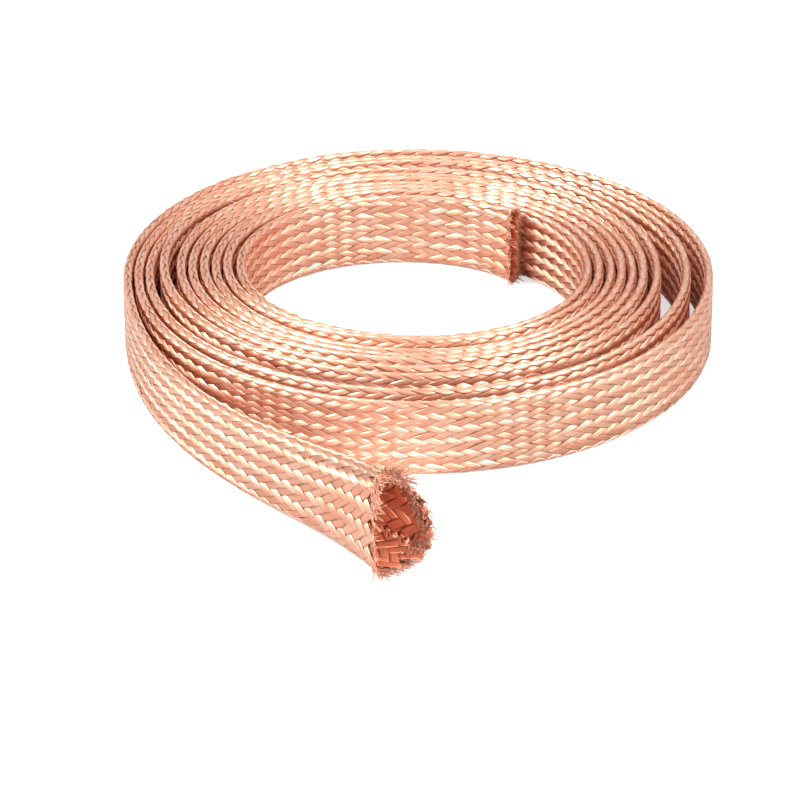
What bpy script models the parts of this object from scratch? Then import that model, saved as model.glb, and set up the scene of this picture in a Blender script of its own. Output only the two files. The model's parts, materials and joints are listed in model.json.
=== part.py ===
"""Flexible busbar braid: a flattened tube of woven copper wire, wound on its edge into a roll.

The strip is one piece. It starts at its cut inner end inside the roll, winds outwards
anticlockwise, leaves the roll as a loose tail and opens into a round mouth at its outer end.
The roll rests on the lower edges of its inner end, its last turns and its tail at z = 0, and the
mouth points along -Y. Lengths are in metres and angles are in degrees, measured from +X round
the roll's axis.
"""
import math

import bpy
from mathutils import Vector

# The woven strip
BRAID_WIDTH = 0.025
BRAID_THICKNESS = 0.003
EDGE_FLAT = 0.0018
WEAVE_RELIEF = 0.0005

# The roll, whose eye is a little oval. The turns are round again between these two
EYE_RADIUS = 0.0531
EYE_SHIFT = 0.0022
EYE_SHIFT_ANGLE = 87.0
EYE_OVAL = 0.0011
EYE_OVAL_ANGLE = 92.0
OVAL_UNTIL_TURN = 5.5
ROUND_FROM_TURN = 7.5
TURNS = 9.38
INNER_END_ANGLE = 13.0
# How much of a turn's growth falls on the side where it passes over the inner end
GROWTH_AT_INNER_END = 0.8
# Clear gaps between each turn and the one inside it, and how high each turn stands off the floor,
# at the back, left, front and right of the photo, from the inside outwards
BACK_AT_TURN = 0.108
TURN_GAPS = (
    (0.0012, 0.0013, 0.0010, 0.0008),
    (0.0005, 0.0008, 0.0007, 0.0009),
    (0.0005, 0.0008, 0.0007, 0.0005),
    (0.0005, 0.0009, 0.0018, 0.0005),
    (0.0006, 0.0008, 0.0018, 0.0005),
    (0.0014, 0.0029, 0.0017, 0.0005),
    (0.0032, 0.0022, 0.0060, 0.0062),
    (0.0008, 0.0006, 0.0050, 0.0044),
    (0.0062, 0.0007, 0.0005, 0.0005),
)
TURN_LIFTS = (
    (0.0000, 0.0006, 0.0012, 0.0008),
    (0.0006, 0.0014, 0.0024, 0.0009),
    (0.0004, 0.0006, 0.0002, 0.0004),
    (0.0002, 0.0013, 0.0004, 0.0012),
    (0.0006, 0.0005, 0.0014, 0.0003),
    (0.0003, 0.0010, 0.0008, 0.0010),
    (0.0008, 0.0028, 0.0009, 0.0004),
    (0.0018, 0.0005, 0.0004, 0.0008),
    (0.0014, 0.0006, 0.0000, 0.0000),
    (0.0000, 0.0000, 0.0000, 0.0000),
)

# The loose tail, from where it leaves the roll to the mouth
TAIL_REACH = 0.1724
TAIL_SIDE_STEP = 0.0207
TAIL_START_SWING = 0.088
TAIL_END_SWING = 0.045
MOUTH_HEIGHT = 0.034
MOUTH_DEPTH = 0.0215
MOUTH_CORNER = 0.006
# How far the wall on the roll's side leans over the other one towards the top of the mouth
MOUTH_LEAN = 0.34
MOUTH_TAPER = 0.095
MOUTH_WALL = 0.0015

# The cut inner end, which gapes a little towards the eye
INNER_END_HEIGHT = 0.0273
INNER_END_DEPTH = 0.0056
INNER_END_TAPER = 0.022
INNER_END_POCKET = 0.012
INNER_END_WALL = 0.0013

# Both cut ends run in and out by this much
RAGGED_CUT = 0.0008

# How finely the strip is drawn. An even number of stations keeps the ridges of all turns in step
STATIONS_PER_TURN = 38
SHORTEST_STEP = 0.3
TAIL_STATIONS = 20
SECTION_POINTS = 14
# Place in the section of the last point before the edge, as a share of a quarter of its outline
FLAT_SECTION_SHARE = 0.86
ROUND_SECTION_LOSS = 0.22
EDGE_FLAT_MOST = 0.6
# The hollows at the two ends stop where the tube is shallower than this many walls
POCKET_WALLS = 2.5
HOLLOW_WALLS = 2.8
SHARP_ANGLE = 25
# How late the tail opens: 1 would be a straight cone
DEPTH_OPENING_POWER = 1.7
HEIGHT_OPENING_POWER = 2.0

COPPER_COLOUR = (0.80, 0.45, 0.32, 1.0)


def clear_scene():
    for thing in list(bpy.data.objects):
        bpy.data.objects.remove(thing)


def mix(low, high, share):
    return low + (high - low) * share


def copper():
    material = bpy.data.materials.new("copper_wire")
    material.use_nodes = True
    shader = material.node_tree.nodes["Principled BSDF"]
    shader.inputs["Base Color"].default_value = COPPER_COLOUR
    shader.inputs["Metallic"].default_value = 1.0
    shader.inputs["Roughness"].default_value = 0.4
    return material


def eased(share):
    """Smooth step from 0 to 1."""
    share = min(max(share, 0.0), 1.0)
    return share * share * (3 - 2 * share)


def read_table(rows, turn):
    """Smooth value between the entries of a table that has four to a turn."""
    entries = [entry for row in rows for entry in row]
    place = min(max(4 * (turn - BACK_AT_TURN), 0.0), len(entries) - 1)
    before = min(int(place), len(entries) - 2)
    return mix(entries[before], entries[before + 1], eased(place - before))


def roll_point(turn):
    """Centre of the strip's lower edge after so many turns from the inner end."""
    angle = INNER_END_ANGLE + 360 * turn
    whole_turns = int(turn)
    part_turn = turn - whole_turns
    oval = EYE_SHIFT * math.cos(math.radians(angle - EYE_SHIFT_ANGLE))
    oval += EYE_OVAL * math.cos(math.radians(2 * (angle - EYE_OVAL_ANGLE)))
    oval *= 1 - eased((turn - OVAL_UNTIL_TURN) / (ROUND_FROM_TURN - OVAL_UNTIL_TURN))
    growth = part_turn + GROWTH_AT_INNER_END * math.sin(2 * math.pi * part_turn) / (2 * math.pi)
    radius = EYE_RADIUS + BRAID_THICKNESS / 2 + oval
    radius += (BRAID_THICKNESS + read_table(TURN_GAPS, 0)) * growth
    for inner_turn in range(whole_turns):
        radius += BRAID_THICKNESS + read_table(TURN_GAPS, part_turn + inner_turn)
    lift = read_table(TURN_LIFTS, turn)
    return Vector((radius * math.cos(math.radians(angle)), radius * math.sin(math.radians(angle)), lift))


def tail_point(start, heading, share):
    """Point on the smooth curve from the roll to the mouth, which faces -Y."""
    mouth = start + Vector((-TAIL_SIDE_STEP, -TAIL_REACH, 0))
    leaving = start + heading * TAIL_START_SWING
    arriving = mouth + Vector((0, TAIL_END_SWING, 0))
    rest = 1 - share
    return (start * rest ** 3 + leaving * 3 * share * rest ** 2
            + arriving * 3 * share ** 2 * rest + mouth * share ** 3)


def route():
    """Centre points of the strip from the inner end to the mouth."""
    step = 1 / STATIONS_PER_TURN
    whole_steps = int(TURNS / step - SHORTEST_STEP)
    turns = [0.0, step / 2, step, 1.5 * step] + [step * index for index in range(2, whole_steps + 1)]
    points = [roll_point(turn) for turn in turns]
    start = roll_point(TURNS)
    heading = (start - roll_point(TURNS - step / 10)).normalized()
    points += [tail_point(start, heading, index / TAIL_STATIONS) for index in range(TAIL_STATIONS + 1)]
    return points


def headings(points):
    """Level unit direction of the strip at each point."""
    last = len(points) - 1
    steps = [points[min(index + 1, last)] - points[max(index - 1, 0)] for index in range(len(points))]
    return [Vector((step.x, step.y, 0)).normalized() for step in steps]


def distances(points):
    """Length of strip from the inner end to each point."""
    run = [0.0]
    for before, after in zip(points, points[1:]):
        run.append(run[-1] + (after - before).length)
    return run


def section_size(from_inner_end, from_mouth):
    """Depth, height and lean of the strip, which is a flat tube except near its two ends."""
    opening = max(0.0, 1 - from_mouth / MOUTH_TAPER)
    gaping = max(0.0, 1 - from_inner_end / INNER_END_TAPER) ** 2
    depth = mix(BRAID_THICKNESS, MOUTH_DEPTH, opening ** DEPTH_OPENING_POWER)
    height = mix(BRAID_WIDTH, MOUTH_HEIGHT, opening ** HEIGHT_OPENING_POWER)
    depth += (INNER_END_DEPTH - BRAID_THICKNESS) * gaping
    height += (INNER_END_HEIGHT - BRAID_WIDTH) * gaping
    return depth, height, MOUTH_LEAN * opening ** DEPTH_OPENING_POWER


def quarter_point(depth, height, corner, share):
    """Point from the middle of the outer face to the end of the round corner above it."""
    straight = height / 2 - corner
    along = share * (straight + corner * math.pi / 2)
    if along <= straight:
        return depth / 2, along
    turned = (along - straight) / corner
    return depth / 2 - corner + corner * math.cos(turned), straight + corner * math.sin(turned)


def section(sizes, wall):
    """Outline of the strip as (outwards, up) pairs, anticlockwise from low on the outer face.

    With a wall it is the outline of the hollow inside. The inner face leans over the outer one.
    """
    full_depth, full_height, lean = sizes
    depth, height = full_depth - 2 * wall, full_height - 2 * wall
    corner = min(depth / 2, MOUTH_CORNER - wall)
    arc = corner * math.pi / 2
    far_share = FLAT_SECTION_SHARE - ROUND_SECTION_LOSS * arc / (height / 2 - corner + arc)
    near = quarter_point(depth, height, corner, far_share / 2)
    far = quarter_point(depth, height, corner, far_share)
    edge = max(min(EDGE_FLAT, EDGE_FLAT_MOST * depth) / 2, depth / 2 - corner), height / 2
    outer_low = [(out, -up) for out, up in (edge, far, near)]
    outer = outer_low + [(depth / 2, 0.0), near, far, edge]
    inner = [(-out, up) for out, up in reversed(outer)]
    upright = outer[1:] + inner + outer[:1]
    leaning = []
    for out, up in upright:
        level = up * 2 / full_height
        narrowing = 1 - lean * level * (1 + level)
        leaning.append((full_depth / 2 - (full_depth / 2 - out) * narrowing, up))
    return leaning


def ridge(station, index):
    """+1 where a woven ridge stands out, -1 in the hollow between two, 0 on the edges."""
    rows = {0: -2, 1: -1, 2: 0, 3: 1, 4: 2, 7: 2, 8: 1, 9: 0, 10: -1, 11: -2}
    if index not in rows:
        return 0
    return 1 if (station + rows[index]) % 2 == 0 else -1


def ring(point, heading, sizes, wall, station, relief, cut):
    """One outline of the strip in space, or of the hollow inside it when wall is not 0."""
    outward = Vector((heading.y, -heading.x, 0))
    middle = point + Vector((0, 0, sizes[1] / 2))
    corners = []
    for index, (out, up) in enumerate(section(sizes, wall)):
        swell = relief * ridge(station, index)
        ragged = cut if index % 2 else -cut
        corners.append(middle + outward * (out + swell) + heading * ragged + Vector((0, 0, up)))
    return corners


def rings():
    """All outlines in order: up the inner end's pocket, along the outside, down the mouth."""
    points = route()
    directions = headings(points)
    run = distances(points)
    last = len(points) - 1
    stations = []
    for index, point in enumerate(points):
        sizes = section_size(run[index], run[last] - run[index])
        outward = Vector((directions[index].y, -directions[index].x, 0))
        gape = (sizes[0] - BRAID_THICKNESS) / 2 if run[index] < INNER_END_TAPER else 0.0
        stations.append((point - outward * gape, directions[index], sizes))
    pocket = []
    for index in range(len(points)):
        if run[index] > INNER_END_POCKET:
            break
        if stations[index][2][0] > POCKET_WALLS * INNER_END_WALL:
            pocket.append(ring(*stations[index], INNER_END_WALL, index, 0.0, 0.0 if index else RAGGED_CUT))
    outside = []
    for index, station in enumerate(stations):
        plain = run[index] < INNER_END_TAPER or index == last
        cut = RAGGED_CUT if index in (0, last) else 0.0
        outside.append(ring(*station, 0.0, index, 0.0 if plain else WEAVE_RELIEF / 2, cut))
    hollow = []
    for index in range(last, 0, -1):
        if stations[index][2][0] < HOLLOW_WALLS * MOUTH_WALL:
            break
        relief = 0.0 if index == last else WEAVE_RELIEF / 2
        hollow.append(ring(*stations[index], MOUTH_WALL, index, relief, RAGGED_CUT if index == last else 0.0))
    print(f"strip {run[last]:.3f} m long, pocket {len(pocket)} rings, hollow {len(hollow)} rings")
    return pocket[::-1], outside, hollow


def facets(pocket_count, outside_count, ring_count):
    """Triangles between the outlines, with their diagonals along the woven ridges."""
    faces = []
    for ring_index in range(ring_count - 1):
        station = ring_index - pocket_count
        for index in range(SECTION_POINTS):
            after = (index + 1) % SECTION_POINTS
            here = ring_index * SECTION_POINTS + index
            beside = ring_index * SECTION_POINTS + after
            ahead = here + SECTION_POINTS
            across = beside + SECTION_POINTS
            raised = ridge(station, index)
            if raised > 0 or (raised == 0 and ridge(station, after) < 0):
                faces += [(here, ahead, across), (here, across, beside)]
            else:
                faces += [(here, ahead, beside), (ahead, across, beside)]
    inner_cap = ladder(0)
    mouth_cap = [corners[::-1] for corners in ladder((ring_count - 1) * SECTION_POINTS)]
    return faces + inner_cap + mouth_cap


def ladder(first):
    """Close the bottom of a hollow with triangles between its two faces."""
    corners = [first + (index - 1) % SECTION_POINTS for index in range(SECTION_POINTS)]
    low, high = 0, SECTION_POINTS - 1
    faces = []
    while high - low > 1:
        faces.append((corners[low], corners[low + 1], corners[high]))
        low += 1
        if high - low > 1:
            faces.append((corners[low], corners[high - 1], corners[high]))
            high -= 1
    return faces


def copper_braid():
    pocket, outside, hollow = rings()
    outlines = pocket + outside + hollow
    corners = [corner for outline in outlines for corner in outline]
    lows = [min(corner[axis] for corner in corners) for axis in range(2)]
    highs = [max(corner[axis] for corner in corners) for axis in range(2)]
    middle = Vector(((lows[0] + highs[0]) / 2, (lows[1] + highs[1]) / 2, 0))
    corners = [corner - middle for corner in corners]
    mesh = bpy.data.meshes.new("copper_braid")
    mesh.from_pydata(corners, [], facets(len(pocket), len(outside), len(outlines)))
    mesh.materials.append(copper())
    mesh.shade_smooth()
    mesh.set_sharp_from_angle(angle=math.radians(SHARP_ANGLE))
    braid = bpy.data.objects.new("copper_braid", mesh)
    bpy.context.collection.objects.link(braid)
    print(f"axis of the roll at {-middle.x:.5f}, {-middle.y:.5f}, {len(mesh.polygons)} triangles")


clear_scene()
copper_braid()
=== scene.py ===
"""A roll of flat copper braid, dressed with its real weave, on a pale studio floor."""

# %% [markdown]
# A flexible busbar braid is a tube, woven on a braiding machine from groups of bare copper wires
# and then rolled flat. This lesson puts the real weave on the plain solid of such a braid, wound
# on its edge into a roll. The solid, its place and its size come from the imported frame, so
# everything below is in metres, with the floor at z = 0.

# %% Load the frame
import json
import math

import bpy
import numpy as np
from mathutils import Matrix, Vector


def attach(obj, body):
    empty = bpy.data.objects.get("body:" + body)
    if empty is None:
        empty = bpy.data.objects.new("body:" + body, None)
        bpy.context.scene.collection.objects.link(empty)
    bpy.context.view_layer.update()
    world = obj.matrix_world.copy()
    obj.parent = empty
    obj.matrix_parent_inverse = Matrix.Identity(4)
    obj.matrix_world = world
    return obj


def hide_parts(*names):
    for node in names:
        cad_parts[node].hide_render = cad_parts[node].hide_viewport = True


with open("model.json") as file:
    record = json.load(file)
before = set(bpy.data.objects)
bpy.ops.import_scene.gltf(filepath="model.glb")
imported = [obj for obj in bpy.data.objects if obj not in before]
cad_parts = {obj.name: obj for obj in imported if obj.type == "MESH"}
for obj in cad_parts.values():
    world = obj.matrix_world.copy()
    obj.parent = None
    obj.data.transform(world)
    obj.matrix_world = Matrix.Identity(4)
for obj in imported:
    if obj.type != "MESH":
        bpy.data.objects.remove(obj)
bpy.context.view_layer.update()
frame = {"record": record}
mounts = {mount["name"]: mount for mount in frame["record"]["mounts"]}
roll_axis = Vector(mounts["roll_eye"]["pos_m"])
print("roll axis at", tuple(round(value, 4) for value in roll_axis))

# %% [markdown]
# The photograph looks down on the roll at about 26 degrees through a long lens. The distance and
# the lens below come from fitting a camera to the round outer and inner edges of the roll, and the
# aim point is the spot on the floor that lies in the middle of the picture.

# %% Camera
CAMERA_DISTANCE = 1.40
CAMERA_ELEVATION = math.radians(25.66)
CAMERA_AZIMUTH = math.radians(-38.0)
CAMERA_LENS = 190.35
SENSOR_WIDTH = 36
AIM_FROM_AXIS = Vector((-0.0339, -0.0352, 0.0))


def add_object(name, data):
    """A new object in the scene."""
    added = bpy.data.objects.new(name, data)
    bpy.context.collection.objects.link(added)
    return added


forward = Vector((-math.sin(CAMERA_AZIMUTH), math.cos(CAMERA_AZIMUTH), 0))
camera_data = bpy.data.cameras.new("camera")
camera_data.lens = CAMERA_LENS
camera_data.sensor_width = SENSOR_WIDTH
camera = add_object("camera", camera_data)
camera.location = (roll_axis - forward * CAMERA_DISTANCE * math.cos(CAMERA_ELEVATION)
                   + Vector((0, 0, CAMERA_DISTANCE * math.sin(CAMERA_ELEVATION))))
sight = roll_axis + AIM_FROM_AXIS - camera.location
camera.rotation_euler = sight.to_track_quat("-Z", "Y").to_euler()
bpy.context.scene.camera = camera
print("camera at", tuple(round(value, 3) for value in camera.location))

# %% [markdown]
# The strip's route is the same as that of the solid underneath: each turn lies on the one inside
# it with the clear gap that the photo shows there, the last turns are sprung apart on one side, and
# a smooth tail opens into a mouth. The rule is repeated here because the weave has to follow it.

# %% The strip's sizes and route
BRAID_WIDTH = 0.025
BRAID_THICKNESS = 0.003
EYE_RADIUS = 0.0531
EYE_SHIFT = 0.0022
EYE_SHIFT_ANGLE = 87.0
EYE_OVAL = 0.0011
EYE_OVAL_ANGLE = 92.0
OVAL_UNTIL_TURN = 5.5
ROUND_FROM_TURN = 7.5
TURNS = 9.38
INNER_END_ANGLE = 13.0
# How much of a turn's growth falls on the side where it passes over the inner end
GROWTH_AT_INNER_END = 0.8
# Clear gaps between each turn and the one inside it, and how high each turn stands off the floor,
# at the back, left, front and right of the photo, from the inside outwards
BACK_AT_TURN = 0.108
ENTRIES_PER_TURN = 4
TURN_GAPS = (
    (0.0012, 0.0013, 0.0010, 0.0008),
    (0.0005, 0.0008, 0.0007, 0.0009),
    (0.0005, 0.0008, 0.0007, 0.0005),
    (0.0005, 0.0009, 0.0018, 0.0005),
    (0.0006, 0.0008, 0.0018, 0.0005),
    (0.0014, 0.0029, 0.0017, 0.0005),
    (0.0032, 0.0022, 0.0060, 0.0062),
    (0.0008, 0.0006, 0.0050, 0.0044),
    (0.0062, 0.0007, 0.0005, 0.0005),
)
TURN_LIFTS = (
    (0.0000, 0.0006, 0.0012, 0.0008),
    (0.0006, 0.0014, 0.0024, 0.0009),
    (0.0004, 0.0006, 0.0002, 0.0004),
    (0.0002, 0.0013, 0.0004, 0.0012),
    (0.0006, 0.0005, 0.0014, 0.0003),
    (0.0003, 0.0010, 0.0008, 0.0010),
    (0.0008, 0.0028, 0.0009, 0.0004),
    (0.0018, 0.0005, 0.0004, 0.0008),
    (0.0014, 0.0006, 0.0000, 0.0000),
    (0.0000, 0.0000, 0.0000, 0.0000),
)
TAIL_REACH = 0.1724
TAIL_SIDE_STEP = 0.0207
TAIL_START_SWING = 0.088
TAIL_END_SWING = 0.045
ROLL_SAMPLES = 6000
TAIL_SAMPLES = 300


def eased(share):
    share = np.clip(share, 0.0, 1.0)
    return share * share * (3 - 2 * share)


def read_table(rows, turn):
    """Smooth value between the entries of a table, a few of which make up each turn."""
    entries = np.array(rows).ravel()
    place = np.clip(ENTRIES_PER_TURN * (turn - BACK_AT_TURN), 0.0, len(entries) - 1)
    before = np.minimum(place.astype(int), len(entries) - 2)
    return entries[before] + (entries[before + 1] - entries[before]) * eased(place - before)


def roll_points(turn):
    """Centre of the strip's lower edge after so many turns, as rows of x, y and z."""
    angle = np.radians(INNER_END_ANGLE + 360 * turn)
    whole_turns = np.floor(turn)
    part_turn = turn - whole_turns
    oval = EYE_SHIFT * np.cos(angle - math.radians(EYE_SHIFT_ANGLE))
    oval += EYE_OVAL * np.cos(2 * (angle - math.radians(EYE_OVAL_ANGLE)))
    oval *= 1 - eased((turn - OVAL_UNTIL_TURN) / (ROUND_FROM_TURN - OVAL_UNTIL_TURN))
    growth = part_turn + GROWTH_AT_INNER_END * np.sin(2 * np.pi * part_turn) / (2 * np.pi)
    radius = EYE_RADIUS + BRAID_THICKNESS / 2 + oval
    radius += (BRAID_THICKNESS + read_table(TURN_GAPS, np.zeros(len(turn)))) * growth
    for inner_turn in range(int(TURNS)):
        gap = BRAID_THICKNESS + read_table(TURN_GAPS, part_turn + inner_turn)
        radius += np.where(inner_turn < whole_turns, gap, 0)
    lift = read_table(TURN_LIFTS, turn)
    return np.stack([radius * np.cos(angle), radius * np.sin(angle), lift], axis=1)


def tail_points(start, heading, share):
    """The smooth curve from the roll to the mouth, which faces -Y."""
    share = share[:, None]
    rest = 1 - share
    mouth = start + np.array([-TAIL_SIDE_STEP, -TAIL_REACH, 0])
    leaving = start + heading * TAIL_START_SWING
    arriving = mouth + np.array([0, TAIL_END_SWING, 0])
    return (start * rest ** 3 + leaving * 3 * share * rest ** 2
            + arriving * 3 * share ** 2 * rest + mouth * share ** 3)


rolled = roll_points(np.linspace(0, TURNS, ROLL_SAMPLES))
leaving = rolled[-1] - rolled[-2]
loose = tail_points(rolled[-1], leaving / np.linalg.norm(leaving), np.linspace(0, 1, TAIL_SAMPLES))
route = np.concatenate([rolled, loose[1:]]) + np.array(roll_axis)
run = np.concatenate([[0], np.cumsum(np.linalg.norm(np.diff(route, axis=0), axis=1))])
STRIP_LENGTH = run[-1]
print(f"strip {STRIP_LENGTH:.3f} m long")

# %% [markdown]
# A braid can't stretch its wires. Where the tube is squeezed flat its strands lie nearly along it,
# and where it is opened to a wide mouth they turn outwards and the crossings move closer together.
# That is the trellis rule: the length of strand between two crossings never changes. Stepping
# along the route by this rule gives one row of crossings after another.

# %% Rows of crossings along the strip
MOUTH_HEIGHT = 0.034
MOUTH_DEPTH = 0.0215
MOUTH_CORNER = 0.006
MOUTH_LEAN = 0.34
MOUTH_TAPER = 0.095
DEPTH_OPENING_POWER = 1.7
HEIGHT_OPENING_POWER = 2
INNER_END_HEIGHT = 0.0273
INNER_END_DEPTH = 0.0056
INNER_END_TAPER = 0.022
INNER_END_OPENING_POWER = 2
CROSSINGS_AROUND = 48
STRAND_PER_CROSSING = 0.00308
SPARE_ROWS = 4


def tube_size(at):
    """Half the tube's depth, the straight half of its faces, its corner radius and its lean."""
    opening = max(0.0, 1 - (STRIP_LENGTH - at) / MOUTH_TAPER)
    gaping = max(0.0, 1 - at / INNER_END_TAPER) ** INNER_END_OPENING_POWER
    depth = BRAID_THICKNESS + (MOUTH_DEPTH - BRAID_THICKNESS) * opening ** DEPTH_OPENING_POWER
    height = BRAID_WIDTH + (MOUTH_HEIGHT - BRAID_WIDTH) * opening ** HEIGHT_OPENING_POWER
    depth += (INNER_END_DEPTH - BRAID_THICKNESS) * gaping
    height += (INNER_END_HEIGHT - BRAID_WIDTH) * gaping
    corner = min(depth / 2, MOUTH_CORNER)
    return depth / 2, height / 2 - corner, corner, MOUTH_LEAN * opening ** DEPTH_OPENING_POWER


def crossing_width(at):
    """One crossing's share of the tube's outline."""
    half, straight, corner = tube_size(at)[:3]
    return (4 * straight + 4 * (half - corner) + 2 * math.pi * corner) / CROSSINGS_AROUND


def next_row(at):
    """Where the next row of crossings lies, by the trellis rule."""
    return at + math.sqrt(STRAND_PER_CROSSING ** 2 - crossing_width(min(at, STRIP_LENGTH)) ** 2)


row_places = [0.0]
while row_places[-1] < STRIP_LENGTH:
    row_places.append(next_row(row_places[-1]))
first_step = row_places[1]
last_step = row_places[-1] - row_places[-2]
before = [-first_step * count for count in range(SPARE_ROWS, 0, -1)]
after = [row_places[-1] + last_step * count for count in range(1, SPARE_ROWS + 1)]
row_places = np.array(before + row_places + after)
LAST_ROW = len(row_places) - SPARE_ROWS - 1
print(f"{LAST_ROW - SPARE_ROWS} rows of crossings,"
      f" {first_step * 1000:.2f} mm apart at the inner end and {last_step * 1000:.2f} mm at the mouth")

# %% [markdown]
# The rows become a mesh with one loose point each, which carries what the weave needs to know
# there: which way is outwards, the size of the tube, and how far its top leans over. A few spare
# rows run on straight past both ends. The node trees below read this guide by its row number.

# %% The guide mesh
FLOAT_RISE = 0.00012
HEADING_STEP = 0.001


def along_route(places):
    """The route's x and y at these distances along it."""
    places = np.clip(places, 0, STRIP_LENGTH)
    return np.stack([np.interp(places, run, route[:, axis]) for axis in range(2)], axis=1)


inside = np.clip(row_places, 0, STRIP_LENGTH)
centre = along_route(inside)
lifted = np.interp(inside, run, route[:, 2])
heading = along_route(inside + HEADING_STEP) - along_route(inside - HEADING_STEP)
direction = heading / np.linalg.norm(heading, axis=1, keepdims=True)
centre += direction * (row_places - inside)[:, None]
outward = np.stack([direction[:, 1], -direction[:, 0], np.zeros(len(centre))], axis=1)
sizes = np.array([tube_size(at) for at in inside])
gape = np.where(inside < INNER_END_TAPER, sizes[:, 0] - BRAID_THICKNESS / 2, 0)
centre -= outward[:, :2] * gape[:, None]
height = sizes[:, 1] + sizes[:, 2] + lifted

guide_mesh = bpy.data.meshes.new("guide")
guide_mesh.from_pydata(np.column_stack([centre, height]).tolist(), [], [])
for name, rows in (("outward", outward),
                   ("tube", sizes[:, :3] - [FLOAT_RISE, 0, FLOAT_RISE]),
                   ("lean", sizes[:, [3, 3, 3]])):
    attribute = guide_mesh.attributes.new(name, "FLOAT_VECTOR", "POINT")
    attribute.data.foreach_set("vector", rows.astype(np.float32).ravel())
print("guide has", len(guide_mesh.vertices), "rows")

# %% [markdown]
# Shader and geometry trees are written as Python expressions. A Term wraps one socket, so that
# adding or multiplying two of them adds the Math node, and every other node comes from one method
# that sets the node up and joins its sockets.

# %% Node expressions


class Nodes:
    """Adds nodes to a tree: their settings come first, then the values or links of their sockets."""

    def __init__(self, tree):
        self.tree = tree

    def make(self, kind, settings=None, sockets=None, output=0):
        node = self.tree.nodes.new(kind)
        for name, value in (settings or {}).items():
            setattr(node, name, value)
        for name, value in (sockets or {}).items():
            if isinstance(value, Term):
                value.into(node, name)
            else:
                node.inputs[name].default_value = value
        return Term(self, node.outputs[output])

    def vector(self, x, y, z):
        return self.make("ShaderNodeCombineXYZ", {}, {0: x, 1: y, 2: z})

    def colour_ramp(self, share, stops):
        """A colour between the stops, which are pairs of a place and a colour."""
        ramp_term = self.make("ShaderNodeValToRGB", {}, {"Fac": share})
        ramp = ramp_term.socket.node.color_ramp
        while len(ramp.elements) < len(stops):
            ramp.elements.new(1.0)
        for element, (place, colour) in zip(ramp.elements, stops):
            element.position = place
            element.color = colour
        return ramp_term

    def mixed_colour(self, share, first, second, blend_type="MIX"):
        """For colours a Mix node uses its sockets 0, 6 and 7 and its third output."""
        settings = {"data_type": "RGBA", "blend_type": blend_type}
        return self.make("ShaderNodeMix", settings, {0: share, 6: first, 7: second}, 2)


class Term:
    """One socket, which takes part in Python expressions."""

    def __init__(self, nodes, socket):
        self.nodes = nodes
        self.socket = socket

    def into(self, node, name):
        """Join this socket to an input of a node."""
        self.nodes.tree.links.new(self.socket, node.inputs[name])

    def math(self, operation, *others):
        return self.nodes.make("ShaderNodeMath", {"operation": operation}, dict(enumerate((self, *others))))

    def vector_math(self, operation, *others):
        sockets = dict(enumerate((self, *others)))
        return self.nodes.make("ShaderNodeVectorMath", {"operation": operation}, sockets)

    def scaled(self, amount):
        return self.nodes.make("ShaderNodeVectorMath", {"operation": "SCALE"}, {0: self, "Scale": amount})

    def moved(self, *steps):
        """This vector with each of these steps added."""
        place = self
        for step in steps:
            place = place.vector_math("ADD", step)
        return place

    def part(self, axis):
        return self.nodes.make("ShaderNodeSeparateXYZ", {}, {0: self}, axis)

    def clamped(self, low, high):
        return self.math("MAXIMUM", low).math("MINIMUM", high)

    def __add__(self, other):
        return self.math("ADD", other)

    def __sub__(self, other):
        return self.math("SUBTRACT", other)

    def __rsub__(self, other):
        return self.nodes.make("ShaderNodeMath", {"operation": "SUBTRACT"}, {0: other, 1: self})

    def __mul__(self, other):
        return self.math("MULTIPLY", other)

    def __truediv__(self, other):
        return self.math("DIVIDE", other)

    __radd__ = __add__
    __rmul__ = __mul__


# %% [markdown]
# Every piece of the weave is first drawn on a flat chart, where one unit along is a row of
# crossings and one unit around is a forty-eighth of the tube. The last function below wraps the
# chart onto the tube: it reads the guide at the row, goes round the section by the length of its
# outline, and lifts the point off the surface. The section has four straight sides and four round
# corners, and where the tube is flat the two short sides shrink to nothing.

# %% From the flat chart to the tube


def stored(nodes, name):
    """The vector that is stored on the points under this name."""
    return nodes.make("GeometryNodeInputNamedAttribute", {"data_type": "FLOAT_VECTOR"}, {"Name": name})


def guide_field(nodes, guide, field, row):
    """A vector of the guide, read between its rows. For vectors a Mix node has its sockets 4 and 5."""
    before = row.math("FLOOR")
    settings = {"data_type": "FLOAT_VECTOR", "domain": "POINT", "clamp": True}
    low, high = [nodes.make("GeometryNodeSampleIndex", settings,
                            {"Geometry": guide, "Value": field, "Index": index})
                 for index in (before, before + 1)]
    return nodes.make("ShaderNodeMix", {"data_type": "VECTOR"}, {0: row - before, 4: low, 5: high}, 1)


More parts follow.
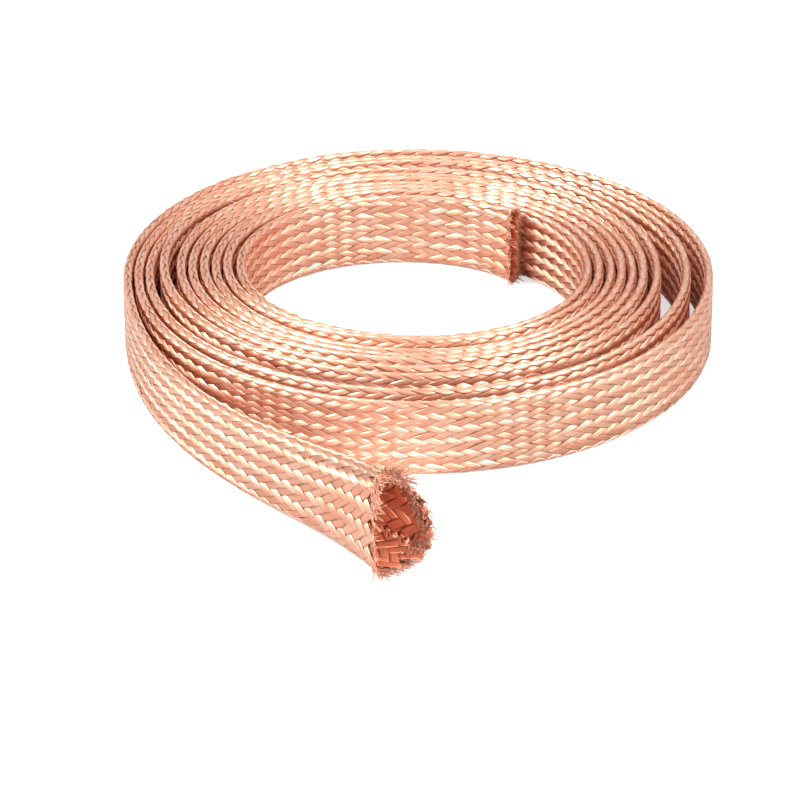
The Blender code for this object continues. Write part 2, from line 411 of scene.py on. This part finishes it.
def on_tube(nodes, guide, row, around, lift):
    """Place of a chart point on the tube, lifted off its surface."""
    centre = guide_field(nodes, guide, nodes.make("GeometryNodeInputPosition"), row)
    outward, tube, lean = [guide_field(nodes, guide, stored(nodes, name), row)
                           for name in ("outward", "tube", "lean")]
    half, straight, corner = tube.part(0), tube.part(1), tube.part(2)
    flat = half - corner
    outline = straight * 4 + flat * 4 + corner * (2 * math.pi)
    share = (around + 0.5) / CROSSINGS_AROUND
    wrapped = share - (share + 0.5).math("FLOOR")
    side = wrapped.math("SIGN")
    length = wrapped.math("ABSOLUTE") * outline
    first_corner = ((length - straight) / corner).clamped(0.0, math.pi / 2)
    crossed = (length - straight - corner * (math.pi / 2)).clamped(0.0, flat * 2)
    last_corner = ((length - straight - flat * 2) / corner - math.pi / 2).clamped(0.0, math.pi / 2)
    turned = first_corner + last_corner
    beyond = (length - straight - flat * 2 - corner * math.pi).math("MAXIMUM", 0.0)
    up = side * (length.math("MINIMUM", straight) + corner * turned.math("SINE") - beyond)
    out = flat - crossed + corner * turned.math("COSINE")
    level = up / (straight + corner)
    narrowing = 1 - lean.part(0) * level * (level + 1)
    out = half - (half - out) * narrowing + lift * turned.math("COSINE")
    up = up + side * lift * turned.math("SINE")
    return centre.moved(outward.scaled(out), nodes.vector(0.0, 0.0, up))


# %% [markdown]
# Each tree below starts from the guide and ends with smooth shading and a material. It runs as a
# modifier on the guide, and the result is kept as a plain mesh, so the pieces need no tree later.

# %% Trees that grow pieces


def new_tree(name, inputs):
    """An empty geometry tree with the guide and these named inputs, as (nodes, inputs by name)."""
    tree = bpy.data.node_groups.new(name, "GeometryNodeTree")
    tree.interface.new_socket("Guide", in_out="INPUT", socket_type="NodeSocketGeometry")
    for label, kind in inputs.items():
        tree.interface.new_socket(label, in_out="INPUT", socket_type="NodeSocket" + kind)
    tree.interface.new_socket("Geometry", in_out="OUTPUT", socket_type="NodeSocketGeometry")
    nodes = Nodes(tree)
    entry = tree.nodes.new("NodeGroupInput")
    return nodes, {label: Term(nodes, entry.outputs[label]) for label in ("Guide", *inputs)}


def end_tree(nodes, geometry, material):
    """Smooth shading and the material, which end every tree."""
    smooth = nodes.make("GeometryNodeSetShadeSmooth", {}, {"Geometry": geometry})
    dressed = nodes.make("GeometryNodeSetMaterial", {}, {"Geometry": smooth, "Material": material})
    dressed.into(nodes.tree.nodes.new("NodeGroupOutput"), "Geometry")
    print(f"{nodes.tree.name} tree: {len(nodes.tree.nodes)} nodes")


def grow(name, nodes, values):
    """Run a tree on the guide with these values and keep the result as a plain mesh object."""
    carrier = add_object(name + "_guide", guide_mesh)
    modifier = carrier.modifiers.new(name, "NODES")
    modifier.node_group = nodes.tree
    for item in nodes.tree.interface.items_tree:
        if item.in_out == "INPUT" and item.name in values:
            modifier[item.identifier] = values[item.name]
    depsgraph = bpy.context.evaluated_depsgraph_get()
    mesh = bpy.data.meshes.new_from_object(
        carrier.evaluated_get(depsgraph), preserve_all_data_layers=True, depsgraph=depsgraph)
    bpy.data.objects.remove(carrier)
    piece = add_object(name, mesh)
    triangles = sum(len(polygon.vertices) - 2 for polygon in mesh.polygons)
    print(f"{name}: {triangles} triangles")
    return piece


# %% [markdown]
# Bare copper wire is a metal with a warm pink body and almost white highlights. Each strand is a
# flat ribbon of eight fine wires. They could be modelled one by one, but at this distance a wire is
# thinner than a pixel, so the material draws them as bumped grooves along the strand, with painted
# shade that darkens each wire towards its grooves, and gives each strand, and each wire in it, a
# slightly different tone. Highlights stretch across the wires, which is what the anisotropy is for.
# The chart position of every point is kept in the piece's own UV map, so the grooves follow the
# strands round the tube.
#
# The inside of the tube is lit by light that has met copper before, so it is redder. Part of that
# redness is painted into its material as a red tint. The middle of the wall, between the floats,
# lies in deep shade, and that shade is painted into its dark colour.

# %% Copper wire materials
WIRES_PER_STRAND = 8
GROOVE_PAINTED_SHADE = 0.35
GROOVE_DEPTH = 0.00012
GROOVE_STRENGTH = 0.55
STREAKS_ALONG = 0.35
STREAKS_PER_WIRE = 3.1
STREAKS_PER_TONE = 40
STREAK_SCALE = 1.3
STREAK_CONTRAST = 1.5
ROUGHNESS = 0.34
STREAK_ROUGHNESS = 0.12
ANISOTROPY = 0.9
QUARTER_TURN = 0.25
COPPER = (0.94, 0.55, 0.39, 1.0)
COPPER_DULL = (0.88, 0.44, 0.285, 1.0)
COPPER_PALE = (1.0, 0.68, 0.51, 1.0)
COPPER_STOPS = ((0.05, COPPER_DULL), (0.5, COPPER), (0.95, COPPER_PALE))
# Painted shade: the dark colour of the sheet in the middle of the wall, which lies in shade between the
# floats
COPPER_SHADOW = (0.55, 0.22, 0.11, 1.0)
UNTINTED = (1.0, 1.0, 1.0)
# Painted bounce light: a red tint on the inside of the tube, which stands for light that has met copper
# before
INNER_PAINTED_BOUNCE_TINT = (1.0, 0.66, 0.52)


def new_material(name, values):
    """A new material whose shader has these values, with its nodes and its shader."""
    material = bpy.data.materials.new(name)
    material.use_nodes = True
    shader = material.node_tree.nodes["Principled BSDF"]
    for label, value in values.items():
        shader.inputs[label].default_value = value
    return material, Nodes(material.node_tree), shader


def copper_material(name, bounce_tint, metallic):
    material, nodes, shader = new_material(name, {
        "Metallic": metallic, "Anisotropic": ANISOTROPY, "Anisotropic Rotation": QUARTER_TURN})
    place = nodes.make("ShaderNodeUVMap", {"uv_map": "strand"})
    tone = nodes.make("ShaderNodeAttribute", {"attribute_name": "tone"}, output=2)
    across = place.part(1) * WIRES_PER_STRAND
    wire = across.math("FLOOR")
    groove = (across - wire - 0.5).math("ABSOLUTE") * 2
    crown = (1 - groove * groove).math("MAXIMUM", 0.0).math("SQRT")
    seed = nodes.vector(place.part(0) * STREAKS_ALONG, wire * STREAKS_PER_WIRE, tone * STREAKS_PER_TONE)
    streak = nodes.make("ShaderNodeTexNoise", {"noise_dimensions": "3D"},
                        {"Vector": seed, "Scale": STREAK_SCALE, "Detail": 1.0})
    colour = nodes.colour_ramp((streak - 0.5) * STREAK_CONTRAST + tone, COPPER_STOPS)
    # Painted shade: each wire is darker towards its grooves, and loses more green and blue than red there,
    # as if its light had bounced off copper
    shade = crown * GROOVE_PAINTED_SHADE + (1 - GROOVE_PAINTED_SHADE)
    shade_twice = shade * shade
    painted_shade_and_bounce = nodes.vector(shade * bounce_tint[0], shade_twice * bounce_tint[1], shade_twice * bounce_tint[2])
    nodes.mixed_colour(1.0, colour, painted_shade_and_bounce, "MULTIPLY").into(shader, "Base Color")
    bump = nodes.make("ShaderNodeBump", {}, {
        "Strength": GROOVE_STRENGTH, "Distance": GROOVE_DEPTH, "Height": crown})
    bump.into(shader, "Normal")
    (ROUGHNESS + streak * STREAK_ROUGHNESS).into(shader, "Roughness")
    along = nodes.make("ShaderNodeTangent", {"direction_type": "UV_MAP", "uv_map": "strand"})
    along.into(shader, "Tangent")
    return material


wire_copper = copper_material("wire_copper", UNTINTED, 1.0)
inner_copper_painted_bounce = copper_material("inner_copper_painted_bounce", INNER_PAINTED_BOUNCE_TINT, 0.5)
shadow_copper = new_material("shadow_copper", {
    "Base Color": COPPER_SHADOW, "Metallic": 0.6, "Roughness": 0.6})[0]
print("materials", wire_copper.name, inner_copper_painted_bounce.name, shadow_copper.name)

# %% [markdown]
# In this weave every strand passes over two strands and under two. What shows is the stretch that
# passes over, called a float: a flat ribbon that bulges in the middle and dives under the
# neighbouring strands at both ends. One float is drawn here as a small closed pod on the chart,
# with its length in crossings and its width as a share of the strand. The strip's two round edges
# bend a float sharply, so the floats that lie there get a pod with more sections.

# %% One float, in two finenesses
# Pairs of a place along the float, in crossings, and how far the pod is raised there
FLOAT_SECTIONS = ((-1.30, -0.00050), (-0.88, -0.00008), (0.0, 0.00006), (0.88, -0.00008), (1.30, -0.00050))
EDGE_FLOAT_SECTIONS = (
    (-1.22, -0.00042), (-0.95, -0.00009), (-0.60, 0.00003), (-0.20, 0.00005),
    (0.20, 0.00005), (0.60, 0.00003), (0.95, -0.00009), (1.22, -0.00042))
# The same across it, in shares of the strand's width
FLOAT_PROFILE = ((-0.5, -0.00009), (-0.27, 0.00004), (0.27, 0.00004), (0.5, -0.00009))


def template_object(name, points, faces, chart=None):
    """A mesh to copy. Its UV map holds the points' places on the chart, or else each face's square."""
    mesh = bpy.data.meshes.new(name)
    mesh.from_pydata(points, [], faces)
    uv_map = mesh.uv_layers.new(name="strand")
    if chart:
        for loop in mesh.loops:
            uv_map.data[loop.index].uv = chart[loop.vertex_index]
    template = add_object(name, mesh)
    template.hide_render = True
    return template


def float_template(sections):
    """One float: a ring of points for each section, skinned and closed at both ends."""
    points, faces, chart = [], [], []
    count = len(FLOAT_PROFILE)
    for along, dive in sections:
        for across, rise in FLOAT_PROFILE:
            points.append((along, across, dive + rise))
            chart.append((along, across + 0.5))
    for section in range(len(sections) - 1):
        for corner in range(count):
            here, beside = section * count + corner, section * count + (corner + 1) % count
            faces.append((here, here + count, beside + count, beside))
    last = (len(sections) - 1) * count
    faces.append(tuple(range(count)))
    faces.append(tuple(last + corner for corner in reversed(range(count))))
    return template_object("float", points, faces, chart)


float_pod = float_template(FLOAT_SECTIONS)
edge_float_pod = float_template(EDGE_FLOAT_SECTIONS)
print("pods of", len(float_pod.data.polygons), "and", len(edge_float_pod.data.polygons), "faces")

# %% [markdown]
# A tree sets out one point for each float or loose wire, stores on it what its copy has to know,
# and puts the copy there. These helpers add the nodes for that.

# %% Random numbers, stored values and copies


def random_between(nodes, low, high, seed, salt):
    """A random number for each point. Sockets 2 and 3 are its limits, and 8 is the seed."""
    sockets = {2: low, 3: high, 8: seed + salt}
    return nodes.make("FunctionNodeRandomValue", {"data_type": "FLOAT"}, sockets, 1)


def random_vector(nodes, amount, seed, salt):
    """A random vector for each point, up to this amount either way along each axis."""
    sockets = {0: nodes.vector(-1.0, -1.0, -1.0), 1: nodes.vector(1.0, 1.0, 1.0), 8: seed + salt}
    return nodes.make("FunctionNodeRandomValue", {"data_type": "FLOAT_VECTOR"}, sockets).scaled(amount)


def store(nodes, points, name, value, data_type="FLOAT_VECTOR"):
    """The points with a value stored on each of them under this name."""
    return nodes.make("GeometryNodeStoreNamedAttribute", {"data_type": data_type, "domain": "POINT"},
                      {"Geometry": points, "Name": name, "Value": value})


def copies_of(nodes, template, points, chosen=True):
    """A copy of the template on every chosen point."""
    shape = nodes.make("GeometryNodeObjectInfo", {}, {"Object": template}, "Geometry")
    return nodes.make("GeometryNodeInstanceOnPoints", {},
                      {"Points": points, "Selection": chosen, "Instance": shape})


# %% [markdown]
# Twelve floats of each slant go round the tube in every pick, in rows that run along the strip and
# lean in turn one way and the other, like herringbone cloth. An image could show that from afar,
# but not the notched outline of the strip's edges. So the tree puts a copy of the pod on the chart
# for each float, joins the copies and then wraps them all onto the tube at once. A pod's ends run
# along the strands that it dives under, which makes it a slanted rhombus on the narrow tube. Small
# random shifts keep the rows from looking printed.

# %% The weave tree
FLOATS_AROUND = 12
CROSSINGS_PER_FLOAT = CROSSINGS_AROUND // FLOATS_AROUND
ROWS_PER_PICK = 2
STRAND_COVER = 1.05
ROW_DISORDER = 0.10
SIDE_DISORDER = 0.07
RISE_DISORDER = 0.00005
FLOAT_TONES = (0.15, 0.85)
# Where the strip's upper edge lies on the chart; the lower edge lies half way round from it
UPPER_EDGE = 11.5
HALF_AROUND = CROSSINGS_AROUND / 2
EDGE_REACH = 2.0

weave, given = new_tree("weave", {
    "First pick": "Int", "Picks": "Int", "Lean": "Float", "Row offset": "Float",
    "Around offset": "Float", "Facing": "Float", "Depth": "Float", "Seed": "Int",
    "Material": "Material"})
seed = given["Seed"]
index = weave.make("GeometryNodeInputIndex")
pick = (index / FLOATS_AROUND).math("FLOOR")
rank = index - pick * FLOATS_AROUND
row_shift = random_between(weave, -ROW_DISORDER, ROW_DISORDER, seed, 1)
side_shift = random_between(weave, -SIDE_DISORDER, SIDE_DISORDER, seed, 2)
middle_row = (pick + given["First pick"]) * ROWS_PER_PICK + given["Row offset"]
middle_around = rank * CROSSINGS_PER_FLOAT + given["Around offset"]
middle = weave.vector(middle_row + row_shift, middle_around + side_shift,
                      random_between(weave, -RISE_DISORDER, RISE_DISORDER, seed, 3))
spots = weave.make("GeometryNodePoints", {}, {"Count": given["Picks"] * FLOATS_AROUND})
spots = store(weave, spots, "middle", middle)
spots = store(weave, spots, "tone", random_between(weave, *FLOAT_TONES, seed, 4), "FLOAT")

halves = (middle_around - UPPER_EDGE) / HALF_AROUND
from_edge = (halves - (halves + 0.5).math("FLOOR")).math("ABSOLUTE") * HALF_AROUND
on_edge = from_edge.math("LESS_THAN", EDGE_REACH)
pods = copies_of(weave, float_pod, spots, 1 - on_edge)
edge_pods = copies_of(weave, edge_float_pod, spots, on_edge)
both = weave.make("GeometryNodeJoinGeometry", {}, {"Geometry": pods})
edge_pods.into(both.socket.node, "Geometry")
pods = weave.make("GeometryNodeRealizeInstances", {}, {"Geometry": both})

local = weave.make("GeometryNodeInputPosition")
middle = stored(weave, "middle")
across = local.part(1) * STRAND_COVER * given["Facing"]
row = (middle.part(0) + local.part(0) - given["Lean"] * across).clamped(float(SPARE_ROWS), float(LAST_ROW))
around = middle.part(1) + given["Lean"] * local.part(0) + across
lift = given["Facing"] * (local.part(2) + middle.part(2)) - given["Depth"]
wrapped = on_tube(weave, given["Guide"], row, around, lift)
woven = weave.make("GeometryNodeSetPosition", {}, {"Geometry": pods, "Position": wrapped})
end_tree(weave, woven, given["Material"])

# %% [markdown]
# The roll is woven in three lengths for each slant, which keeps every mesh small enough to handle.
# The strands that lean to the right start on an even row of crossings and the others on an odd one.

# %% Weave the outside of the strip
FIRST_PICK = SPARE_ROWS // ROWS_PER_PICK
PICK_COUNT = (LAST_ROW - SPARE_ROWS) // ROWS_PER_PICK
LENGTHS = ("inner_turns", "middle_turns", "outer_turns")
# For each slant its name, its lean, and its first float's place in rows along and crossings around
OUTSIDE_SLANTS = (("right", 1, 0.5, 0.5), ("left", -1, 1.5, 2.5))
# Which way the floats face, how deep in the wall they lie, and their material
OUTSIDE = (1.0, 0.0, wire_copper)
OUTSIDE_SEED = 10


def weave_floats(length_name, slant, start, picks, side, seed):
    """The floats of one slant, over so many picks of the strip, on one side of its wall."""
    slant_name, lean, row_offset, around_offset = slant
    facing, depth, material = side
    return grow(f"{slant_name}_strands_{length_name}", weave, {
        "First pick": start, "Picks": picks, "Lean": float(lean), "Row offset": row_offset,
        "Around offset": around_offset, "Facing": facing, "Depth": depth, "Seed": seed + lean,
        "Material": material})


weave_pieces = []
for slant in OUTSIDE_SLANTS:
    start = FIRST_PICK
    for number, length_name in enumerate(LENGTHS, 1):
        stop = FIRST_PICK + PICK_COUNT * number // len(LENGTHS)
        weave_pieces.append(
            weave_floats(length_name, slant, start, stop - start, OUTSIDE, OUTSIDE_SEED * number))
        start = stop

# %% [markdown]
# On the inside of the tube the same strands show the other way up: where a right-leaning float
# lies outside, a left-leaning one lies inside. Only the open mouth and the gaping inner end can be
# looked into, so the inside is woven there and nowhere else.

# %% Weave the inside at both ends
WALL = 0.0009
MOUTH_PICKS = 16
END_PICKS = 4
INSIDE_SLANTS = (("right", 1, 0.5, 2.5), ("left", -1, 1.5, 0.5))
INSIDE = (-1.0, WALL, inner_copper_painted_bounce)
INSIDE_SEED = 70
for end_name, start, picks in (("mouth", FIRST_PICK + PICK_COUNT - MOUTH_PICKS, MOUTH_PICKS),
                               ("cut", FIRST_PICK, END_PICKS)):
    for slant in INSIDE_SLANTS:
        weave_pieces.append(
            weave_floats("inside_" + end_name, slant, start, picks, INSIDE, INSIDE_SEED + picks))

# %% [markdown]
# Between the floats one looks into the dark middle of the weave. A thin sheet wrapped halfway
# through the wall stands for the strands down there, so that no light comes through the braid. Its
# dark colour is painted shade.

# %% The middle of the wall
CORE_SIDES = 24
CORE_DEPTH = 0.00040
CORE_THICKNESS = 0.00015
SEAM_DISTANCE = 0.00001
core, given = new_tree("core", {"Material": "Material"})
sheet = core.make("GeometryNodeMeshGrid", {}, {
    "Size X": float(PICK_COUNT - 1), "Size Y": float(CROSSINGS_AROUND),
    "Vertices X": PICK_COUNT, "Vertices Y": CORE_SIDES + 1})
spot = core.make("GeometryNodeInputPosition")
row = (spot.part(0) + (PICK_COUNT - 1) / 2) * ROWS_PER_PICK + SPARE_ROWS
wrapped = on_tube(core, given["Guide"], row, spot.part(1), -CORE_DEPTH)
sheet = core.make("GeometryNodeSetPosition", {}, {"Geometry": sheet, "Position": wrapped})
sheet = core.make("GeometryNodeMergeByDistance", {}, {"Geometry": sheet, "Distance": SEAM_DISTANCE})
end_tree(core, sheet, given["Material"])
wall_core = grow("wall_core", core, {"Material": shadow_copper})
thicken = wall_core.modifiers.new("thickness", "SOLIDIFY")
thicken.thickness = CORE_THICKNESS
thicken.offset = -1

# %% [markdown]
# Cut ends of braid never stay tidy: the fine wires spring out of their strands in all directions.
# A hair system could grow them, but they have to start from the strands' own places. So one wire
# is a thin three-sided rod, and a tree plants copies of it along the rim.

# %% One loose wire
WIRE_SECTIONS = 5
WIRE_SIDES = 3


def wire_template():
    """A rod one unit long and one in radius, which the tree gives its length, bend and thickness."""
    points, faces = [], []
    for section in range(WIRE_SECTIONS):
        for corner in range(WIRE_SIDES):
            angle = math.radians(360 / WIRE_SIDES * corner)
            points.append((section / (WIRE_SECTIONS - 1), math.cos(angle), math.sin(angle)))
    for section in range(WIRE_SECTIONS - 1):
        for corner in range(WIRE_SIDES):
            here, beside = section * WIRE_SIDES + corner, section * WIRE_SIDES + (corner + 1) % WIRE_SIDES
            faces.append((here, beside, beside + WIRE_SIDES, here + WIRE_SIDES))
    last = (WIRE_SECTIONS - 1) * WIRE_SIDES
    faces.append(tuple(reversed(range(WIRE_SIDES))))
    faces.append(tuple(last + corner for corner in range(WIRE_SIDES)))
    return template_object("loose_wire", points, faces)


loose_wire = wire_template()
print("loose wire of", len(loose_wire.data.polygons), "faces")

# %% [markdown]
# Each wire leaves the rim roughly along the strip, leans with one slant or the other, flares
# outwards or inwards, and bends. Short wires are more common than long ones. Where a wire would
# pass through the floor it lies on it instead.

# %% The fringe tree
NEARBY = 0.001
LEAST_LEAN = 0.2
MOST_LEAN = 0.9
WIRE_TONES = (0.1, 0.9)
# The power of the random share that sets a wire's length, so that short wires are more common
SHORTNESS = 2.0
# Any direction will do that no wire is likely to have
OFF_AXIS = (0.31, 0.22, 0.92)
fringe, given = new_tree("fringe", {
    "Wires": "Int", "Rim row": "Float", "Outwards": "Float", "Row spread": "Float",
    "From around": "Float", "To around": "Float", "Deepest": "Float", "Shortest": "Float",
    "Longest": "Float", "Flare": "Float", "Scatter": "Float", "Bend": "Float",
    "Thickness": "Float", "Seed": "Int", "Material": "Material"})
seed = given["Seed"]
outwards, thickness = given["Outwards"], given["Thickness"]


def mixed(low, high, share):
    """The value at this share of the way from low to high."""
    return low + (high - low) * share


rim_row = given["Rim row"] - outwards * given["Row spread"] * random_between(fringe, 0.0, 1.0, seed, 1)
rim_around = mixed(given["From around"], given["To around"], random_between(fringe, 0.0, 1.0, seed, 2))
sunk = given["Deepest"] * random_between(fringe, 0.0, -1.0, seed, 3)
root = on_tube(fringe, given["Guide"], rim_row, rim_around, sunk)
further = on_tube(fringe, given["Guide"], rim_row + outwards, rim_around, sunk)
sideways = on_tube(fringe, given["Guide"], rim_row, rim_around + 1, sunk)
raised = on_tube(fringe, given["Guide"], rim_row, rim_around, sunk + NEARBY)
forwards, round_the_rim, off_the_wall = [
    target.vector_math("SUBTRACT", root).vector_math("NORMALIZE") for target in (further, sideways, raised)]

either_way = random_between(fringe, -1.0, 1.0, seed, 4).math("SIGN")
leaning = either_way * random_between(fringe, LEAST_LEAN, MOST_LEAN, seed, 5)
aim = forwards.moved(round_the_rim.scaled(leaning), off_the_wall.scaled(given["Flare"]),
                     random_vector(fringe, given["Scatter"], seed, 6)).vector_math("NORMALIZE")
wire_length = mixed(given["Shortest"], given["Longest"],
                    random_between(fringe, 0.0, 1.0, seed, 7).math("POWER", SHORTNESS))
bend = random_vector(fringe, given["Bend"], seed, 8).scaled(wire_length)
spots = fringe.make("GeometryNodePoints", {}, {"Count": given["Wires"]})
for name, value in (("root", root), ("aim", aim.scaled(wire_length)), ("bend", bend)):
    spots = store(fringe, spots, name, value)
spots = store(fringe, spots, "tone", random_between(fringe, *WIRE_TONES, seed, 9), "FLOAT")
rods = fringe.make("GeometryNodeRealizeInstances", {}, {"Geometry": copies_of(fringe, loose_wire, spots)})

local = fringe.make("GeometryNodeInputPosition")
root, aim, bend = [stored(fringe, name) for name in ("root", "aim", "bend")]
first_side = aim.vector_math("CROSS_PRODUCT", OFF_AXIS).vector_math("NORMALIZE")
second_side = aim.vector_math("CROSS_PRODUCT", first_side).vector_math("NORMALIZE")
along = local.part(0)
curve = root.moved(aim.scaled(along), bend.scaled(along * along))
above_floor = curve.vector_math("MAXIMUM", fringe.vector(-1.0, -1.0, thickness))
skin = above_floor.moved(first_side.scaled(local.part(1) * thickness),
                         second_side.scaled(local.part(2) * thickness))
frayed = fringe.make("GeometryNodeSetPosition", {}, {"Geometry": rods, "Position": skin})
end_tree(fringe, frayed, given["Material"])

# %% [markdown]
# The mouth has a short fringe all round, a brush of crushed wires on the inside of its far wall, a
# comb along its near rim, and a longer tuft at its top and its foot. The inner end has a dense,
# short fringe. Each one is a number of wires between two places around the tube, spread over some
# rows back from the rim and to some depth in the wall.

# %% Fray both ends
RIM_INSET = 0.3
# The row of each rim, and which way along the strip leads out of the tube
MOUTH_RIM = (LAST_ROW - RIM_INSET, 1.0)
CUT_RIM = (SPARE_ROWS + RIM_INSET, -1.0)
ALL_ROUND = (0.0, float(CROSSINGS_AROUND))
FRINGE_SEED = 200
fringe_pieces = []


def fray(name, rim, wires, spread, around, deepest, lengths, flare, scatter, bend, radius):
    """Add one fringe of loose wires. Flare points them off the wall, and the radius is the wire's."""
    fringe_pieces.append(grow(name, fringe, {
        "Wires": wires, "Rim row": rim[0], "Outwards": rim[1], "Row spread": spread,
        "From around": around[0], "To around": around[1], "Deepest": deepest,
        "Shortest": lengths[0], "Longest": lengths[1], "Flare": flare, "Scatter": scatter,
        "Bend": bend, "Thickness": radius, "Seed": FRINGE_SEED + len(fringe_pieces),
        "Material": wire_copper}))


fray("mouth_fringe", MOUTH_RIM, wires=400, spread=0.8, around=ALL_ROUND, deepest=0.0009,
     lengths=(0.0010, 0.0036), flare=0.1, scatter=0.45, bend=0.4, radius=0.00012)
fray("mouth_brush", MOUTH_RIM, wires=420, spread=2.6, around=(14.0, 34.0), deepest=0.0016,
     lengths=(0.0015, 0.0032), flare=-0.8, scatter=0.4, bend=0.4, radius=0.00019)
fray("mouth_comb", MOUTH_RIM, wires=220, spread=0.5, around=(2.0, 12.0), deepest=0.0008,
     lengths=(0.0025, 0.0062), flare=0.0, scatter=0.25, bend=0.25, radius=0.00014)
fray("mouth_top_tuft", MOUTH_RIM, wires=130, spread=1.0, around=(12.0, 18.0), deepest=0.0010,
     lengths=(0.0040, 0.0075), flare=1.1, scatter=0.22, bend=0.3, radius=0.00014)
fray("mouth_foot_tuft", MOUTH_RIM, wires=80, spread=0.8, around=(35.0, 43.0), deepest=0.0008,
     lengths=(0.0020, 0.0060), flare=0.4, scatter=0.4, bend=0.4, radius=0.00013)
fray("cut_fringe", CUT_RIM, wires=440, spread=0.4, around=ALL_ROUND, deepest=0.0009,
     lengths=(0.0015, 0.0038), flare=0.5, scatter=0.35, bend=0.35, radius=0.00014)
for template in (float_pod, edge_float_pod, loose_wire):
    bpy.data.objects.remove(template)

# %% [markdown]
# All of it is one flexible conductor, so every piece rides on the roll's only body and stands for
# the plain solid, which is hidden.

# %% Hand the pieces to the frame
for piece in weave_pieces + [wall_core] + fringe_pieces:
    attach(piece, "root")
    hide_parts("copper_braid")
print(len(weave_pieces) + 1 + len(fringe_pieces), "pieces replace the plain solid")

# %% [markdown]
# The photograph is a product picture on pure white. A wide pale floor keeps the soft shadow under
# the roll. It glows a little for the camera alone, which takes it to white without lighting the
# braid from below.

# %% Floor
FLOOR_REACH = 4
FLOOR_GREY = (0.55, 0.55, 0.55, 1.0)
FLOOR_GLOW = 0.6
BLACK = (0, 0, 0, 1)
WHITE = (1, 1, 1, 1)
floor_corners = [(-FLOOR_REACH, -FLOOR_REACH, 0), (FLOOR_REACH, -FLOOR_REACH, 0),
                 (FLOOR_REACH, FLOOR_REACH, 0), (-FLOOR_REACH, FLOOR_REACH, 0)]
floor_mesh = bpy.data.meshes.new("floor")
floor_mesh.from_pydata(floor_corners, [], [(0, 1, 2, 3)])
floor = add_object("floor", floor_mesh)
floor_material, floor_nodes, floor_shader = new_material("studio_floor", {
    "Base Color": FLOOR_GREY, "Roughness": 1.0, "Specular IOR Level": 0.0, "Emission Strength": FLOOR_GLOW})
seen = floor_nodes.make("ShaderNodeLightPath", output="Is Camera Ray")
floor_nodes.mixed_colour(seen, BLACK, WHITE).into(floor_shader, "Emission Color")
floor_mesh.materials.append(floor_material)
print("floor", 2 * FLOOR_REACH, "m wide")

# %% [markdown]
# Two large soft lamps light the roll from the right and the left. The photo's light also reaches
# deep into the mouth, which needs a narrow lamp that looks into it and lights little else.

# %% Lamps
SOFT_LAMPS = (("right_lamp", (0.54, -1.19, 1.48), 34), ("left_lamp", (-1.23, 0.70, 1.40), 42))
SOFT_LAMP_SIZE = 1.0
NARROW_LAMP_FROM_MOUTH = Vector((-0.35, -0.85, 0.72))
NARROW_LAMP_POWER = 32
NARROW_LAMP_CONE = math.radians(4.0)
NARROW_LAMP_BLEND = 0.5


def add_lamp(name, kind, place, target, power):
    """The settings of a new lamp of this kind, which is turned towards its target."""
    settings = bpy.data.lights.new(name, kind)
    settings.energy = power
    lamp = add_object(name, settings)
    lamp.location = place
    lamp.rotation_euler = (Vector(target) - Vector(place)).to_track_quat("-Z", "Y").to_euler()
    return settings


for name, place, power in SOFT_LAMPS:
    soft_lamp = add_lamp(name, "AREA", place, (0, 0, 0), power)
    soft_lamp.shape = "DISK"
    soft_lamp.size = SOFT_LAMP_SIZE
mouth = Vector(mounts["mouth_socket"]["pos_m"])
narrow_lamp = add_lamp("narrow_lamp", "SPOT", mouth + NARROW_LAMP_FROM_MOUTH, mouth, NARROW_LAMP_POWER)
narrow_lamp.spot_size = NARROW_LAMP_CONE
narrow_lamp.spot_blend = NARROW_LAMP_BLEND
print("lamps of", [lamp.energy for lamp in bpy.data.lights], "W")

# %% [markdown]
# An even white sky fills in the shadows and shows as pure white behind the roll. What the metal
# mirrors is a sky that is darker at the horizon and brighter overhead, because a strip on its edge
# mirrors mostly the horizon, and an even sky there makes it look like paint.

# %% Sky
SKY_LIGHT = 0.64
SKY_SEEN = 1.05
SKY_AT_HORIZON = 0.55
SKY_RISE = 1.0
world = bpy.data.worlds.new("studio")
bpy.context.scene.world = world
world.use_nodes = True
world_nodes = Nodes(world.node_tree)
background = world.node_tree.nodes["Background"]
background.inputs["Color"].default_value = WHITE
direct = world_nodes.make("ShaderNodeLightPath", output="Is Camera Ray")
mirrored = world_nodes.make("ShaderNodeLightPath", output="Is Glossy Ray")
steepness = world_nodes.make("ShaderNodeTexCoord").part(2).math("MAXIMUM", 0.0)
in_metal = mirrored * (1 - direct) * (SKY_AT_HORIZON - SKY_LIGHT + steepness * SKY_RISE)
strength = direct * (SKY_SEEN - SKY_LIGHT) + in_metal + SKY_LIGHT
strength.into(background, "Strength")
bpy.context.scene.view_settings.view_transform = "Standard"
print("sky of strength", SKY_LIGHT)
